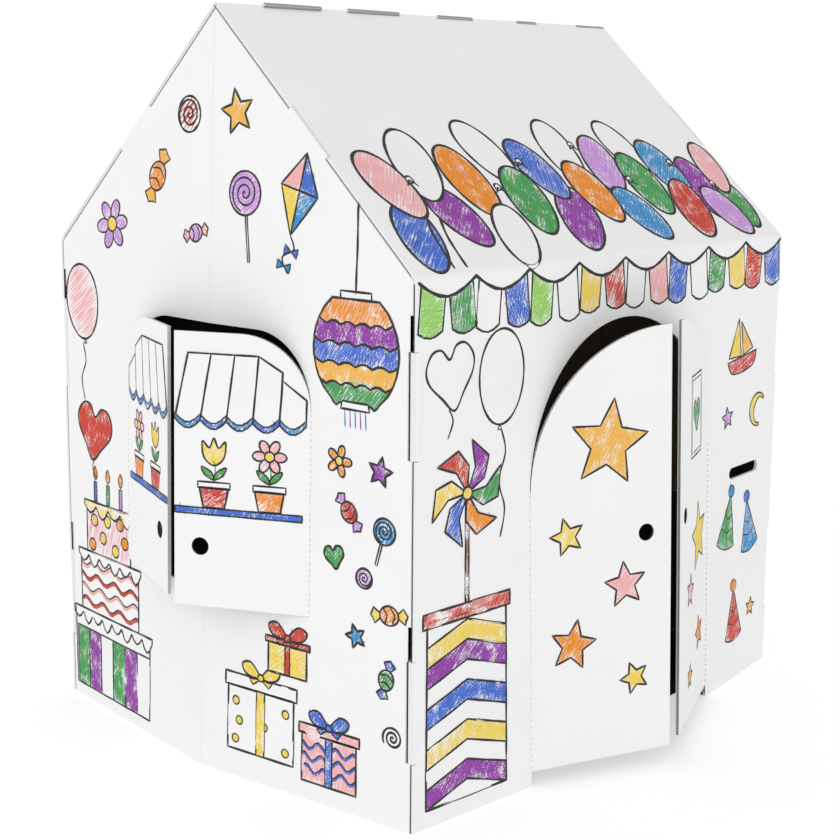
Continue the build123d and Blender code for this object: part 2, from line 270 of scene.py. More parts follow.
def dress_boards():
    vectors = {
        "front_panel": ((0, -0.85, 0.53), (1, 0, 0)),
        "rear_panel": ((0, 0.85, 0.53), (1, 0, 0)),
        "gable_left": ((-1, 0, 0), (0, 1, 0)),
        "gable_right": ((1, 0, 0), (0, 1, 0)),
    }
    for name, (_, _, away, normal) in LEAVES.items():
        vectors[name] = (tuple(normal), tuple(away))
    for name, (out_vec, along) in vectors.items():
        mat = board_material(name, out_vec, along)
        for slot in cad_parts[name].material_slots:
            slot.material = mat


# ---------- where a drawing on each board lies, in metres ----------

def gable_bow(z):
    return GABLE_BOW * (1 - z / RIDGE)


def gable_spot(x, z):
    """Left gable, x to the right seen from outside with 0 at the crease."""
    share = 1 - abs(x) / HALF_D
    if z > EAVE:
        out = gable_bow(z) - gable_bow(EAVE) * abs(x) / HALF_D
    else:
        out = gable_bow(z) * share
    return Vector((-HALF_W - out, -HALF_D - x, z)), Vector((-1, 0, 0.03))


def front_spot(x, z):
    """Front wall, x to the right with 0 at the middle of the door."""
    bow = FRONT_BOW * max(0, 1 - z / EAVE)
    reach = HALF_W - SETBACK - FLAT_EDGE
    share = 1 if abs(x) < DOOR_HALF else max(0, (reach - abs(x)) / (reach - DOOR_HALF))
    return Vector((x, -DEPTH - bow * share, z)), Vector((0, -1, 0))


def roof_spot(x, s):
    """Front roof slope, s measured up the slope from the eave."""
    return Vector((x, -DEPTH + s * COS, EAVE + s * SIN)), Vector((0, -SIN, COS))


def leaf_frame(hinge, up, across, outward, opening):
    """A leaf's foot at its crease, the way up the crease, the way across it and its normal."""
    up = Vector(up).normalized()
    across = Vector(across)
    across = (across - up * across.dot(up)).normalized()
    outward = Vector(outward)
    outward = (outward - up * outward.dot(up) - across * outward.dot(across)).normalized()
    swing = radians(opening)
    away = across * cos(swing) + outward * sin(swing)
    normal = outward * cos(swing) - across * sin(swing)
    return Vector(hinge), up, away, normal


def door_frame(side, opening):
    foot = (side * DOOR_HALF, -DEPTH - FRONT_BOW, 0)
    return leaf_frame(foot, (0, FRONT_BOW, EAVE), (-side, 0, 0), (0, -1, 0), opening)


def shutter_frame(side, toward, opening):
    part = (HALF_D - WINDOW_HALF) / HALF_D
    middle = GABLE_BOW * (1 - (SILL + WINDOW_TOP) / 2 / RIDGE)
    return leaf_frame(
        (side * (HALF_W + part * gable_bow(SILL)), -HALF_D - toward * WINDOW_HALF, SILL),
        (-side * part * GABLE_BOW / RIDGE, 0, 1),
        (side * middle / HALF_D, toward, 0),
        (side, 0, 0),
        opening,
    )


LEAVES = {
    "door_leaf_left": door_frame(-1, 24.6),
    "door_leaf_right": door_frame(1, 22.0),
    "left_shutter_front": shutter_frame(-1, 1, 23.6),
    "left_shutter_rear": shutter_frame(-1, -1, 17.5),
    "right_shutter_front": shutter_frame(1, 1, 0.0),
    "right_shutter_rear": shutter_frame(1, -1, 0.0),
}


def leaf_spot(name):
    hinge, up, away, normal = LEAVES[name]

    def spot(x, v):
        return hinge + away * abs(x) + up * v, normal

    return spot


# ---------- drawing ----------

CRAYONS = {
    "pink": (0.84, 0.42, 0.43),
    "red": (0.58, 0.055, 0.032),
    "orange": (0.80, 0.26, 0.015),
    "gold": (0.83, 0.45, 0.085),
    "yellow": (0.84, 0.62, 0.09),
    "green": (0.06, 0.32, 0.085),
    "lime": (0.30, 0.60, 0.12),
    "blue": (0.06, 0.15, 0.58),
    "cyan": (0.035, 0.26, 0.56),
    "purple": (0.28, 0.05, 0.36),
    "lilac": (0.55, 0.28, 0.66),
    "brown": (0.25, 0.09, 0.03),
}


def crayon_material(name, colour, cover):
    """Wax on paper: grain lets the white liner through, the less the more it covers."""
    white, shift = 0.86, cover * 0.36
    mat, tree, shader = make_material("crayon_" + name, 0.62)
    grain, drift = noise(tree, 750), noise(tree, 60, 2)
    pale = tuple(c * 0.75 + white * 0.25 for c in colour)
    stops = ((0.98 - shift, white), (1.16 - shift, pale), (min(0.99, 1.3 - shift), colour))
    wax = ramp(tree, sums(tree)("+", grain, drift), stops)
    tree.links.new(wax, shader.inputs["Base Color"])
    add_bump(tree, shader, grain, 0.25, 0.0002)
    return mat


def plain_material(name, dark, light, scale, rough):
    mat, tree, shader = make_material(name, rough)
    tone = ramp(tree, noise(tree, scale), ((0.35, dark), (0.65, light)))
    tree.links.new(tone, shader.inputs["Base Color"])
    return mat


# Plain paints: the material's name, its dark and light tones, its grain and its roughness
PLAIN = {
    "ink": ("ink", (0.02, 0.02, 0.021), (0.045, 0.045, 0.047), 700, 0.6),
    "paper": ("print_paper", (0.85, 0.85, 0.855), 0.875, 12, 0.82),
    # light grey: a line of painted shade along a gable's centre crease
    "crease": ("painted_crease_shade", (0.76, 0.76, 0.765), (0.82, 0.82, 0.825), 300, 0.85),
    # mid grey: painted shade in hinge perforations and on one shutter's cut edge
    "dent": ("painted_grey_shade", 0.52, 0.62, 300, 0.9),
    # near black: painted shade in cut edges, seams, finger holes, slots and closed cuts
    "hollow": ("painted_black_shade", 0.02, 0.05, 900, 0.95),
    "shade": ("flute_shade", 0.20, 0.30, 900, 0.95),
    "flute": ("flute_edge", (0.60, 0.60, 0.59), (0.74, 0.74, 0.73), 900, 0.9),
}
# How much a colour covers: one stroke, the wash under many strokes, the tint under few
STROKE, UNDER = 1.15, {"_wash": 0.52, "_tint": 0.28}
PAINTS = {}


def paint(name):
    """One material per paint, made when it is first asked for."""
    if name not in PAINTS:
        if name in PLAIN:
            PAINTS[name] = plain_material(*PLAIN[name])
        else:
            colour = CRAYONS[name[:-5] if name[-5:] in UNDER else name]
            PAINTS[name] = crayon_material(name, colour, UNDER.get(name[-5:], STROKE))
    return PAINTS[name]


class Drawing:
    """Marks on one board, each laid on the board's own surface."""

    def __init__(self, name, body, node, spot, seed, ink=1.3):
        self.name, self.body, self.board, self.spot, self.ink = name, body, node, spot, ink
        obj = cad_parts[node]
        points = [obj.matrix_world @ v.co for v in obj.data.vertices]
        self.tree = BVHTree.FromPolygons(points, [tuple(p.vertices) for p in obj.data.polygons])
        self.rng = random.Random(seed)
        self.points, self.faces, self.slots, self.paints = [], [], [], []
        self.laid = []

    def layer(self, path, solid=True):
        """How many shapes lie under a path; a solid one is laid on top of them."""
        xs, ys = zip(*path)
        box = (min(xs) + 1, min(ys) + 1, max(xs) - 1, max(ys) - 1)
        under = [
            level for (x0, y0, x1, y1), level in self.laid
            if x0 < box[2] and box[0] < x1 and y0 < box[3] and box[1] < y1
        ]
        level = max(under, default=-1) + 1
        if solid:
            self.laid.append((box, level))
        return level

    def place(self, x, y, lift):
        """A point off the board, which is looked for on both sides of the spot."""
        reach = 0.012
        point, normal = self.spot(x / 1000, y / 1000)
        normal = normal.normalized()
        hit = self.tree.ray_cast(point + normal * reach, -normal, 2 * reach)[0]
        return (point if hit is None else hit) + normal * (lift / 1000)

    def add(self, points, faces, coat, lift):
        """Faces given in the board's own millimetres, laid on it."""
        self.raw([self.place(x, y, lift) for x, y in points], faces, coat)

    def raw(self, points, faces, coat):
        """Faces given as points in the part's frame, laid on nothing."""
        if coat not in self.paints:
            self.paints.append(coat)
        start = len(self.points)
        self.points += points
        for face in faces:
            self.faces.append(tuple(start + i for i in face))
            self.slots.append(self.paints.index(coat))

    def ribbon(self, path, width, coat, lift, closed=False, taper=0.0, step=5.0):
        """A line of a hand's uneven width along a path."""
        path = resample(path, step, closed)
        count = len(path)
        if count < 2:
            return
        phase = self.rng.uniform(0, 6.28)
        points, faces = [], []
        for i, (x, y) in enumerate(path):
            dx, dy = direction(path, i, closed)
            share = 1.0
            if taper and not closed:
                share = min(1.0, 0.35 + min(i, count - 1 - i) / max(1, taper))
            half = width / 2 * share * (1 + 0.16 * sin(i * 0.55 + phase))
            points.append((x - dy * half, y + dx * half))
            points.append((x + dy * half, y - dx * half))
        for i in range(count if closed else count - 1):
            a, b = 2 * i, 2 * ((i + 1) % count)
            faces.append((a + 1, b + 1, b, a))
        self.add(points, faces, coat, lift)

    def area(self, path, coat, lift, grid=14.0):
        """A filled outline, with points inside it so that it follows the board."""
        xs, ys = zip(*path)
        count = len(path)
        points = [Vector(p) for p in path]
        x = min(xs) + grid / 2
        while x < max(xs):
            y = min(ys) + grid / 2
            while y < max(ys):
                if inside(path, x, y):
                    points.append(Vector((x, y)))
                y += grid
            x += grid
        edges = [(i, (i + 1) % count) for i in range(count)]
        found = delaunay_2d_cdt(points, edges, [list(range(count))], 1, 1e-4)
        self.add([tuple(v) for v in found[0]], [tuple(f) for f in found[2]], coat, lift)

    def scribble(self, path, colour, angle, pitch, width, lift, zone=None):
        """Back-and-forth crayon strokes across an outline, or across one side of it."""
        draw, spill = self.rng.uniform, 1.5
        turn = radians(angle)
        ca, sa = cos(turn), sin(turn)
        local = [(x * ca + y * sa, -x * sa + y * ca) for x, y in path]
        across = [p[1] for p in local]
        low, high = min(across), max(across)
        middle = [sum(axis) / len(path) for axis in zip(*path)]
        y = low + pitch * 0.6
        flip = False
        drift = draw(-0.06, 0.06)
        while y < high:
            cuts = sorted(crossings(local, y))
            for a, b in zip(cuts[::2], cuts[1::2]):
                if b - a < 3:
                    continue
                if zone:
                    cx, cy = (a + b) / 2 * ca - y * sa, (a + b) / 2 * sa + y * ca
                    if (cx - middle[0]) * zone[0] + (cy - middle[1]) * zone[1] < zone[2]:
                        continue
                a += draw(-spill, 0.12 * (b - a))
                b -= draw(-spill, 0.12 * (b - a))
                if self.rng.random() < 0.05:
                    b += draw(1, 4)
                reach = min(b - a, 26) / 2
                slant = pitch * 0.5 * (1 if flip else -1) + reach * drift
                sag = draw(-1.0, 1.0)
                stroke = [(a, y - slant), ((a + b) / 2, y + sag), (b, y + slant)]
                stroke = [(x * ca - v * sa, x * sa + v * ca) for x, v in stroke]
                wide = width * draw(0.7, 1.25)
                self.ribbon(stroke, wide, colour, lift + draw(0, 0.012), taper=1.5, step=16)
            flip = not flip
            drift = max(-0.16, min(0.16, drift + draw(-0.05, 0.05)))
            y += pitch * draw(0.5, 1.5)

    def shape(self, path, colour=None, angle=None, body=0.6, line=2.0, pitch=2.3, closed=True):
        """An outlined shape, white or coloured in; body is how solid the colouring is."""
        base = GROUND + self.layer(path) * LAYER
        first, second, outline = base + 0.015, base + 0.032, base + 0.06
        cover = "_wash" if body > 0.4 else "_tint"
        self.area(path, colour + cover if colour and body > 0.1 else "paper", base)
        if colour:
            draw = self.rng.uniform
            angle = draw(35, 75) if angle is None else angle
            size = max(p[1] for p in path) - min(p[1] for p in path)
            self.scribble(path, colour, angle, pitch, 1.9, first)
            if body > 0.5:
                self.scribble(path, colour, angle + draw(18, 40), pitch * 2.2, 1.7, second)
            elif body > 0.1 and size > 24:
                way = draw(0, 2 * pi)
                zone = (cos(way), sin(way), draw(-0.2, 0.05) * size)
                angle += draw(-50, 50)
                self.scribble(path, colour, angle, pitch * 1.15, 1.7, second, zone=zone)
        if line:
            self.ribbon(path, line * self.ink, "ink", outline, closed=closed)

    def lines(self, path, width=1.8, closed=False, coat="ink"):
        ink = coat == "ink"
        lift = GROUND + max(0, self.layer(path, False) - 1) * LAYER + (0.064 if ink else 0.05)
        wide = width * (self.ink if ink else 1)
        self.ribbon(path, wide, coat, lift, closed=closed, taper=1.2, step=3.5)

    def string(self, points, width=1.5, coat="ink"):
        self.lines(smooth(points, closed=False), width, coat=coat)

    def build(self):
        mesh = bpy.data.meshes.new(self.name)
        mesh.from_pydata([tuple(p) for p in self.points], [], self.faces)
        for name in self.paints:
            mesh.materials.append(paint(name))
        for polygon, slot in zip(mesh.polygons, self.slots):
            polygon.material_index = slot
        obj = add_object(self.name, mesh)
        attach(obj, self.body)


def crossings(path, y):
    """Where the closed path crosses the height y."""
    for i, (x0, y0) in enumerate(path):
        x1, y1 = path[(i + 1) % len(path)]
        if (y0 > y) != (y1 > y):
            yield x0 + (y - y0) * (x1 - x0) / (y1 - y0)


def inside(path, x, y):
    return sum(x < cut for cut in crossings(path, y)) % 2 == 1


def direction(path, i, closed=False):
    """The unit direction of a path at one of its points."""
    last = len(path) - 1
    before, after = (i - 1, (i + 1) % (last + 1)) if closed else (max(0, i - 1), min(last, i + 1))
    dx, dy = path[after][0] - path[before][0], path[after][1] - path[before][1]
    length = hypot(dx, dy) or 1
    return dx / length, dy / length


def resample(path, step, closed):
    """Points along a path at most step apart, with its corners kept."""
    out = []
    ends = list(path) + ([path[0]] if closed else [])
    for (x0, y0), (x1, y1) in zip(ends, ends[1:]):
        pieces = max(1, ceil(hypot(x1 - x0, y1 - y0) / step))
        out += [(x0 + (x1 - x0) * i / pieces, y0 + (y1 - y0) * i / pieces) for i in range(pieces)]
    if not closed:
        out.append(ends[-1])
    return out


def oval(cx, cy, rx, ry, turn=0, count=36, start=0, end=360):
    c, s = cos(radians(turn)), sin(radians(turn))
    out = []
    for i in range(count if end - start >= 360 else count + 1):
        a = radians(start + (end - start) * i / count)
        x, y = rx * cos(a), ry * sin(a)
        out.append((cx + x * c - y * s, cy + x * s + y * c))
    return out


def star(cx, cy, r, turn=0):
    tips = [(r * (0.46 if i % 2 else 1), radians(90 + turn + i * 36)) for i in range(10)]
    return [(cx + q * cos(a), cy + q * sin(a)) for q, a in tips]


def smooth(points, closed=True, steps=7):
    """A curve through the points."""
    count = len(points)
    out = []
    for i in range(count if closed else count - 1):
        at = [i + k if closed else min(max(i + k, 0), count - 1) for k in (-1, 0, 1, 2)]
        near = [points[n % count] for n in at]
        for j in range(steps):
            t = j / steps
            out.append(tuple(
                0.5 * (2 * b + (c - a) * t + (2 * a - 5 * b + 4 * c - e) * t * t
                       + (3 * b - a - 3 * c + e) * t ** 3)
                for a, b, c, e in zip(*near)))
    if not closed:
        out.append(points[-1])
    return out


def moved(path, dx, dy, turn=0, size=1.0):
    c, s = cos(radians(turn)), sin(radians(turn))
    return [(dx + size * (x * c - y * s), dy + size * (x * s + y * c)) for x, y in path]


def rect(x0, y0, x1, y1):
    return [(x0, y0), (x1, y0), (x1, y1), (x0, y1)]


def wave(x0, y, wide, count, rate, phase):
    return [(x0 + wide * k / count, y + 5 * sin(k * rate + phase)) for k in range(count + 1)]


def scallops(a, b, y, shares):
    """Points of one hanging arc from a to b."""
    return [(a + (b - a) * t, y - 11 * sin(pi * t)) for t in shares]


def spiral(cx, cy, r, turns, start=0):
    steps = int(turns * 22)
    arms = [(r * i / steps, radians(start + 360 * turns * i / steps)) for i in range(steps + 1)]
    return [(cx + q * cos(a), cy + q * sin(a)) for q, a in arms]


# ---------- motifs, all common party things ----------

def heart(d, cx, cy, size, colour, body=0.6, turn=0):
    half = [(0.45, -0.55), (0.92, -0.02), (1.0, 0.42), (0.72, 0.82), (0.32, 0.84)]
    path = [(0, -1)] + half + [(0, 0.5)] + [(-x, y) for x, y in reversed(half)]
    d.shape(moved(smooth(path), cx, cy, turn, size / 2), colour, body=body)


def sweet(d, cx, cy, size, colours, turn=0):
    """A wrapped sweet: a ball with a twist of paper at each end."""
    spot = (cx, cy, turn, size / 2)
    fan = [(0.42, 0.06), (0.8, 0.34), (0.9, 0.16), (1.0, 0.02)]
    fan += [(0.88, -0.14), (0.82, -0.34), (0.42, -0.06)]
    for side in (1, -1):
        twist = [(side * x, y) for x, y in fan]
        d.shape(moved(twist, *spot), colours[0], line=1.5)
    d.shape(moved(oval(0, 0, 0.5, 0.42), *spot), colours[1], body=0.3, line=1.6)
    for k in (-0.2, 0.2):
        bow = smooth([(k - 0.1, 0.36), (k + 0.08, 0), (k - 0.1, -0.36)], closed=False)
        d.lines(moved(bow, *spot), 1.4)


def stars(d, row, body=0.6):
    for x, y, r, turn, colour in row:
        d.shape(star(x, y, r, turn), colour, body=body)


def lollipop(d, cx, cy, r, colour, stick, turn=0):
    d.shape(moved(rect(-1.6, 0, 1.6, -stick), cx, cy, turn), line=1.4)
    d.shape(oval(cx, cy, r, r), colour, body=0.3, line=1.8)
    d.lines(spiral(cx, cy, r * 0.86, 2.6, 40), 1.6)


def balloon(d, cx, cy, rx, ry, colour, turn=0, body=0.6, knot=True):
    if knot:
        tip = moved([(-3.5, -ry - 6), (0, -ry + 1), (3.5, -ry - 6)], cx, cy, turn)
        d.shape(tip, colour, line=1.3)
    egg = [(x * (1 - 0.10 * (1 - y / ry) * 0.5), y) for x, y in oval(0, 0, rx, ry)]
    d.shape(moved(egg, cx, cy, turn), colour, body=body)


def flower(d, cx, cy, r, petal, middle, count=6, turn=0):
    for i in range(count):
        way = turn + 360 * i / count
        a = radians(way)
        px, py = cx + 0.62 * r * cos(a), cy + 0.62 * r * sin(a)
        d.shape(oval(px, py, 0.42 * r, 0.28 * r, way, 22), petal, body=0.3, line=1.6)
    d.shape(oval(cx, cy, 0.30 * r, 0.30 * r, count=24), middle, line=1.6)


def kite(d, cx, cy, w, h, colours, turn=0):
    tips = [(0, 0.6 * h), (w / 2, 0.1 * h), (0, -0.5 * h), (-w / 2, 0.1 * h)]
    for i in range(4):
        part = [(0, 0.1 * h), tips[i], tips[(i + 1) % 4]]
        d.shape(moved(part, cx, cy, turn), colours[i], line=1.7)
    tail = smooth([(0, -0.5 * h), (10, -0.66 * h), (-6, -0.82 * h), (8, -1.0 * h)], closed=False)
    d.lines(moved(tail, cx, cy, turn), 1.5)
    for i, (x, y) in enumerate(((6, -0.7 * h), (-1, -0.92 * h))):
        for side in (1, -1):
            bow = [(x, y), (x + side * 11, y + 6), (x + side * 11, y - 6)]
            d.shape(moved(bow, cx, cy, turn), colours[i], line=1.3)


def present(d, x0, y0, w, h, colour, ribbon, marks):
    """A gift box seen from the front, with a lid, an upright ribbon and a bow."""
    d.shape(rect(x0, y0, x0 + w, y0 + h), colour, body=0.3)
    if marks == "dots":
        for i in range(9):
            px = x0 + w * (0.12 + 0.38 * (i % 3)) + (6 if i // 3 % 2 else 0)
            py = y0 + h * (0.17 + 0.3 * (i // 3))
            if px < x0 + w - 8:
                d.shape(oval(px, py, 5.5, 5.5, count=16), ribbon, line=1.3)
    if marks == "waves":
        for i in range(3):
            path = wave(x0, y0 + h * (0.25 + 0.25 * i), w, 16, 1.2, i)
            d.lines(path, 3.2, coat=ribbon)
            d.lines(moved(path, 0, 2.6), 1.3)
    half, mid = w * 0.12 / 2, x0 + w * 0.5
    d.shape(rect(mid - half, y0, mid + half, y0 + h), ribbon, line=1.6)
    lid = rect(x0 - 5, y0 + h, x0 + w + 5, y0 + h + 0.2 * h)
    d.shape(lid, ribbon if marks == "lid" else colour, body=0.3)
    top = y0 + 1.2 * h
    for side in (1, -1):
        loop = [(0, 0), (side * 16, 19), (side * 31, 15), (side * 24, 3)]
        d.shape(smooth(moved(loop, mid, top)), ribbon, line=1.7)
        d.shape(moved([(0, 0), (side * 13, -9), (side * 19, -2)], mid, top), ribbon, line=1.4)
    d.shape(oval(mid, top + 2, 5, 4.5, count=16), ribbon, line=1.5)


# ---------- the drawings on each board ----------

def draw_cake(d):
    """A white cake of three tiers, each with its own pattern, icing and three candles on top."""
    striped, waved, dotted = (-322, 18, 196, 112), (-304, 130, 150, 88), (-286, 218, 112, 74)
    x0, y0, w, h = striped
    d.shape(rect(x0, y0, x0 + w, y0 + h))
    for i in range(6):
        a = x0 + 4 + i * 32
        stripe = rect(a, y0, min(a + 32, x0 + w), y0 + h * 0.78)
        d.shape(stripe, ("green", "purple", None)[i % 3], line=1.6)
    x0, y0, w, h = waved
    d.shape(rect(x0, y0, x0 + w, y0 + h))
    for i in range(4):
        path = wave(x0, y0 + h * (0.18 + 0.21 * i), w, 20, 1.05, i)
        d.lines(path, 4.6, coat="red" if i % 2 == 0 else "pink")
        d.lines(moved(path, 0, 3.4), 1.4)
    x0, y0, w, h = dotted
    d.shape(rect(x0, y0, x0 + w, y0 + h), "pink", body=0.0, pitch=3.4)
    dots = ((14, 16), (42, 30), (74, 18), (98, 34), (20, 52), (54, 56), (86, 58))
    for i, (px, py) in enumerate(dots):
        dot_colour = ("orange", "gold", "yellow")[i % 3]
        d.shape(oval(x0 + px, y0 + py, 8.5, 8.5, count=20), dot_colour, line=1.5)
    for x0, y0, w, h in (striped, waved, dotted):
        top = y0 + h + 4
        icing = [(x0 - 6, top)]
        drips = max(4, int(w / 24))
        for k in range(drips):
            a = x0 - 6 + (w + 12) * k / drips
            b = x0 - 6 + (w + 12) * (k + 1) / drips
            drop = 11 + 5 * (k % 2)
            for t in (0.02, 0.25, 0.5, 0.75, 0.98):
                icing.append((a + (b - a) * t, top - drop * sin(pi * t) - 6))
        icing.append((x0 + w + 6, top))
        d.shape(icing, "yellow" if w < 120 else None, body=0.0)
    for cx, colour in ((-262, "blue"), (-230, "green"), (-198, "lilac")):
        d.shape(rect(cx - 3.5, 298, cx + 3.5, 326), colour, line=1.5)
        flame = smooth([(cx, 329), (cx + 5, 337), (cx, 348), (cx - 5, 337)])
        d.shape(flame, "orange", line=1.3)


def draw_lantern(d, cx, cy):
    """A paper lantern of five frilled bands on a string, with a fringe below it."""
    bands = ("green", "gold", "blue", "purple", "orange")
    d.lines([(cx, cy + 66), (cx + 1, cy + 120), (cx, cy + 172)], 2.0)
    d.shape(rect(cx - 24, cy + 58, cx + 24, cy + 69), line=1.8)
    for k, colour in enumerate(bands):
        a, b = -60 + 120 * k / 5, -60 + 120 * (k + 1) / 5
        left = [(-66 * sqrt(max(0.05, 1 - (y / 72) ** 2)), y) for y in (a, (a + b) / 2, b)]
        right = [(-x, y) for x, y in reversed(left)]
        wide = left[0][0]
        frill = [
            (wide - 2 * wide * (i + t) / 5, a - 7 * sin(pi * t))
            for i in range(5) for t in (0.15, 0.5, 0.85)
        ]
        d.shape(moved(left + right + frill[::-1], cx, cy), colour, body=0.6 if k % 2 else 0.3)
    foot = [(cx - 22, cy - 70), (cx + 22, cy - 70), (cx + 20, cy - 61), (cx - 20, cy - 61)]
    d.shape(foot, line=1.8)
    for k in range(5):
        x = cx - 16 + 8 * k
        d.lines([(x, cy - 71), (x + 1, cy - 92)], 1.6, coat="purple" if k % 2 else "blue")


def draw_gable():
    d = Drawing("print_gable_left", "house", "gable_left", gable_spot, 11, 1.55)
    # peak
    d.shape(star(44, 842, 29, 12), "gold")
    d.shape(oval(-47, 838, 22, 22), "red", body=0.0, pitch=3.2, line=0)
    d.lines(spiral(-47, 838, 21, 2.4, 80), 2.0)
    d.lines(oval(-47, 838, 22.5, 22.5), 1.9, closed=True)
    sweet(d, -112, 758, 78, ("gold", "orange"), 62)
    kite(d, 150, 742, 62, 92, ("blue", "cyan", "yellow", "pink"), -14)
    lollipop(d, 60, 744, 27, "lilac", 84, 6)
    flower(d, -212, 690, 33, "lilac", "yellow", 6, 10)
    sweet(d, -30, 690, 52, ("pink", "lilac"), 15)
    # left column: balloon, heart, tiered cake
    d.string([(-286, 520), (-280, 495), (-291, 470), (-284, 440)])
    balloon(d, -286, 578, 40, 52, "pink", 6, body=0.0)
    heart(d, -262, 398, 84, "red", 0.6, -8)
    d.string([(-262, 362), (-268, 345), (-258, 330)])
    draw_cake(d)
    # below the window
    present(d, 46, 36, 108, 84, None, "yellow", "dots")
    present(d, 168, 24, 84, 62, "pink", "blue", "waves")
    present(d, 112, 152, 62, 38, "yellow", "red", "lid")
    draw_lantern(d, 246, 570)
    # small things down the right side
    flower(d, 222, 436, 19, "orange", "yellow", 5)
    d.shape(star(285, 432, 19, -10), "purple")
    sweet(d, 238, 376, 54, ("lilac", "red"), -50)
    lollipop(d, 292, 362, 16, "cyan", 44, -16)
    heart(d, 216, 318, 30, "green", 0.6, 12)
    d.shape(oval(262, 300, 12, 12), "lilac", body=0.3)
    d.lines(spiral(262, 300, 10, 2, 10), 1.3)
    sweet(d, 300, 262, 56, ("yellow", "orange"), 8)
    d.shape(star(250, 226, 16, 20), "cyan")
    sweet(d, 296, 182, 52, ("blue", "green"), 74)
    d.lines(spiral(306, 112, 15, 2.6), 1.9)
    d.build()


def draw_shutters():
    """On each shutter half an awning over a shelf with two flower pots."""
    reach, low = 175, 236
    shares = (0, 0.2, 0.4, 0.6, 0.8, 1)
    for name, side, seed in (("left_shutter_front", -1, 21), ("left_shutter_rear", 1, 22)):
        d = Drawing("print_" + name, name, name, leaf_spot(name), seed, 1.45)
        for k, top in enumerate((268, 300, 318, 318, 318)):
            a, b = side * (6 + 34 * k), side * min(6 + 34 * (k + 1), reach)
            scallop = scallops(a, b, low, shares)
            d.shape([(a * 0.90, top)] + scallop + [(b * 0.90, min(318, top + 22))], line=1.7)
            hem = scallop + scallops(a, b, low + 7, shares[::-1])
            d.shape(hem, "blue" if k % 2 else "cyan", body=0.3, line=1.4)
        d.shape(rect(side * 10, 118, side * reach, 126), "blue", line=1.5)
        for cx, cloth, bloom in ((side * 52, "orange", "pink"), (side * 124, "red", "yellow")):
            d.string([(cx, 158), (cx + 2, 172), (cx, 186)], 1.7, "green")
            for s in (1, -1):
                leaf = [(cx, 162), (cx + s * 12, 168), (cx + s * 16, 178), (cx + s * 4, 172)]
                d.shape(smooth(leaf), "green", line=1.3)
            if bloom == "pink":
                flower(d, cx, 196, 21, bloom, "yellow", 6)
            else:
                half = [(13, 190), (15, 210), (6, 202)]
                tulip = [(-13, 190), (0, 180)] + half + [(0, 214), (-6, 202), (-15, 210)]
                d.shape(smooth(moved(tulip, cx, 0)), bloom, line=1.6)
            pot = [(cx - 14, 127), (cx + 14, 127), (cx + 19, 152), (cx - 19, 152)]
            d.shape(pot, cloth, body=0.3, line=1.7)
            d.shape(rect(cx - 21, 151, cx + 21, 159), line=1.6)
        d.build()


def eave_line(t):
    """How high the scalloped line under the eave hangs, t counted in scallops."""
    return 657 - 20 * sin(pi * (t % 1))


def draw_bunting(d):
    """Bunting under a scalloped eave, two flags to a scallop."""
    colours = (
        "lime", "green", None, "blue", "lime", None, "yellow", "red",
        None, "pink", "blue", None, "green", "yellow", "red", "blue",
    )
    end, span, reach = 404, 101, 0.205
    foot = [(18, -44), (9, -49), (0, -51), (-9, -49), (-18, -44)]
    edge = []
    for k in range(8):
        left = -end + span * k
        for j, (t, lean) in enumerate(((0.26, -5), (0.74, 5))):
            top = [(left + span * v, eave_line(v)) for v in (t - reach, t, t + reach)]
            x, y = top[1]
            hang = [(x + lean + px * 1.15, y + py * (1.0 + 0.06 * (k % 3))) for px, py in foot]
            d.shape(top + hang, colours[2 * k + j], body=0.3, pitch=2.6, line=1.8)
        edge += [(left + span * t, eave_line(t)) for t in (0, 0.1, 0.2, 0.35, 0.5, 0.65, 0.8, 0.9)]
    d.lines(edge + [(end, eave_line(0))], 2.6)


